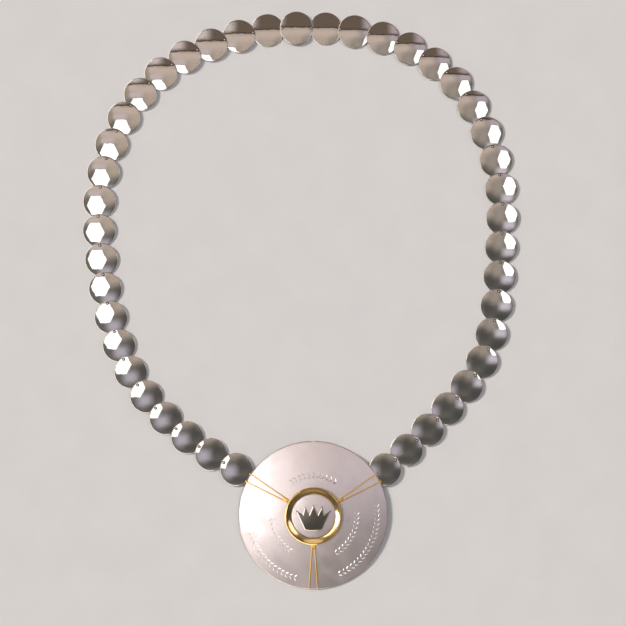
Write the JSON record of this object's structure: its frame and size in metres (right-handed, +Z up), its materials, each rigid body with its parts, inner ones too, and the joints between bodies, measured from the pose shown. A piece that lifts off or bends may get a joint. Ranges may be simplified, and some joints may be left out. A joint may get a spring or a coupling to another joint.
{
  "type": "shooting guild chain",
  "caption": "Ceremonial neck chain of overlapping domed silver discs riveted into a loop, with a large round satin pendant that carries a gilt collar and a plain crown.",
  "frame": {"origin": "middle of the chain's outline, on the surface that it lies on", "axes": "+Z up out of the face, +Y from the pendant towards the top disc, +X to the right as seen from above"},
  "size_m": [0.3302, 0.4376, 0.0101],
  "materials": {
    "polished_silver": "mirror polished, with fine wear scratches",
    "satin_silver": "satin, fine matt grain",
    "gilt_silver": "polished gilding",
    "burnished_silver": "burnished, slightly darkened"
  },
  "bodies": {
    "root": {"disc_top": "polished_silver", "disc_left_01": "polished_silver", "disc_left_02": "polished_silver", "disc_left_03": "polished_silver", "disc_left_04": "polished_silver", "disc_left_05": "polished_silver", "disc_left_06": "polished_silver", "disc_left_07": "polished_silver", "disc_left_08": "polished_silver", "disc_left_09": "polished_silver", "disc_left_10": "polished_silver", "disc_left_11": "polished_silver", "disc_left_12": "polished_silver", "disc_left_13": "polished_silver", "disc_left_14": "polished_silver", "disc_left_15": "polished_silver", "disc_left_16": "polished_silver", "disc_left_17": "polished_silver", "disc_left_18": "polished_silver", "disc_left_19": "polished_silver", "disc_left_20": "polished_silver", "disc_left_21": "polished_silver", "disc_right_01": "polished_silver", "disc_right_02": "polished_silver", "disc_right_03": "polished_silver", "disc_right_04": "polished_silver", "disc_right_05": "polished_silver", "disc_right_06": "polished_silver", "disc_right_07": "polished_silver", "disc_right_08": "polished_silver", "disc_right_09": "polished_silver", "disc_right_10": "polished_silver", "disc_right_11": "polished_silver", "disc_right_12": "polished_silver", "disc_right_13": "polished_silver", "disc_right_14": "polished_silver", "disc_right_15": "polished_silver", "disc_right_16": "polished_silver", "disc_right_17": "polished_silver", "disc_right_18": "polished_silver", "disc_right_19": "polished_silver", "disc_right_20": "polished_silver", "disc_right_21": "polished_silver", "plate": "satin_silver", "centre_disc": "satin_silver", "crown": "burnished_silver", "collar": "gilt_silver", "wire_left": "gilt_silver", "wire_right": "gilt_silver", "wire_bottom": "gilt_silver"}
  },
  "joints": []
}
